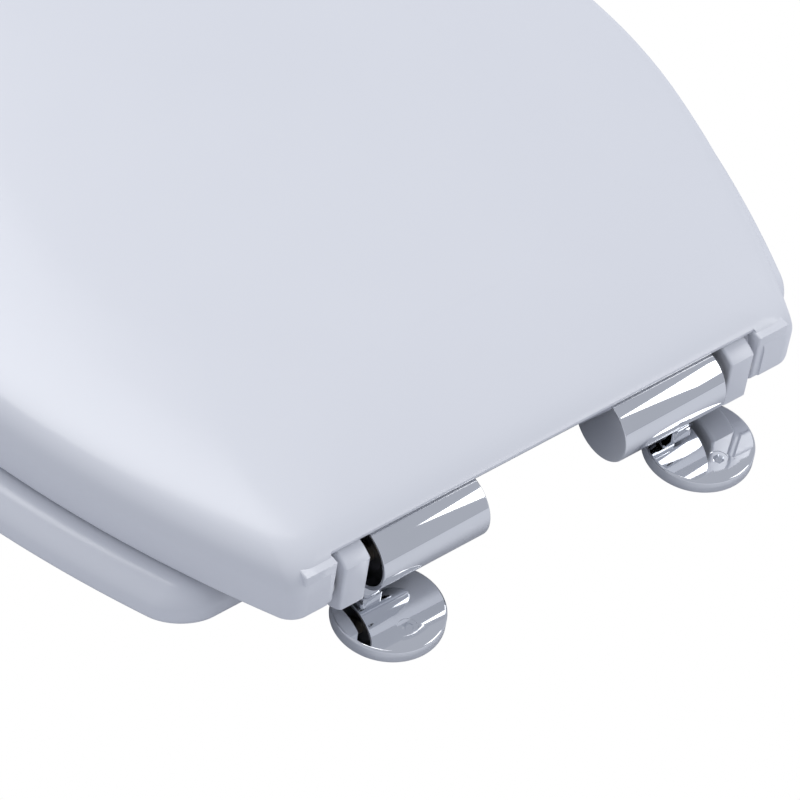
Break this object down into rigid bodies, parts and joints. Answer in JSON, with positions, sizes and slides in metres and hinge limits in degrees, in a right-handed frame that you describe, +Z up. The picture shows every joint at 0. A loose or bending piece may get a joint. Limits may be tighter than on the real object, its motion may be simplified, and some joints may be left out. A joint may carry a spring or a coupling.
{
  "type": "toilet seat",
  "caption": "White gloss seat ring and cover that close on round buffers and turn on two chromed barrel hinges, each on a post and a round base disc bolted to the bowl",
  "frame": {"origin": "midway between the two fixing holes, on the plane the discs and the seat buffers stand on", "axes": "+X to the right seen from behind the hinges looking to the front, +Y from the hinges to the front of the seat, +Z up; seat and cover closed"},
  "size_m": [0.3818, 0.4629, 0.0519],
  "materials": {
    "cover_plastic": "high gloss white",
    "seat_plastic": "high gloss white",
    "buffer_rubber": "soft white rubber",
    "chrome": "polished chrome plating",
    "damper_plastic": "black plastic case",
    "pin_steel": "turned steel",
    "bush_plastic": "pale plastic",
    "screw_steel": "plated steel",
    "plate_steel": "zinc plated steel",
    "gasket_rubber": "grey rubber"
  },
  "bodies": {
    "hinges": {"left_base_disc": "chrome", "left_hinge_barrel": "chrome", "left_damper": "damper_plastic", "left_grub_screw": "screw_steel", "left_fixing_plate": "plate_steel", "left_base_gasket": "gasket_rubber", "right_base_disc": "chrome", "right_hinge_barrel": "chrome", "right_damper": "damper_plastic", "right_grub_screw": "screw_steel", "right_fixing_plate": "plate_steel", "right_base_gasket": "gasket_rubber"},
    "seat": {"seat_ring": "seat_plastic", "seat_buffers": "buffer_rubber", "left_seat_bush": "bush_plastic", "right_seat_bush": "bush_plastic", "left_hinge_pin": "pin_steel"},
    "cover": {"lid": "cover_plastic", "lid_buffers": "buffer_rubber", "left_lid_bush": "bush_plastic", "right_lid_bush": "bush_plastic", "right_hinge_pin": "pin_steel"}
  },
  "joints": [
    {"name": "seat_lift", "type": "hinge", "parent": "hinges", "child": "seat", "pos_m": [0, 0.0128, 0.0279], "axis": [1, 0, 0], "range_deg": [0, 50]},
    {"name": "lid_lift", "type": "hinge", "parent": "seat", "child": "cover", "pos_m": [0, 0.0128, 0.0279], "axis": [1, 0, 0], "range_deg": [0, 95]}
  ]
}
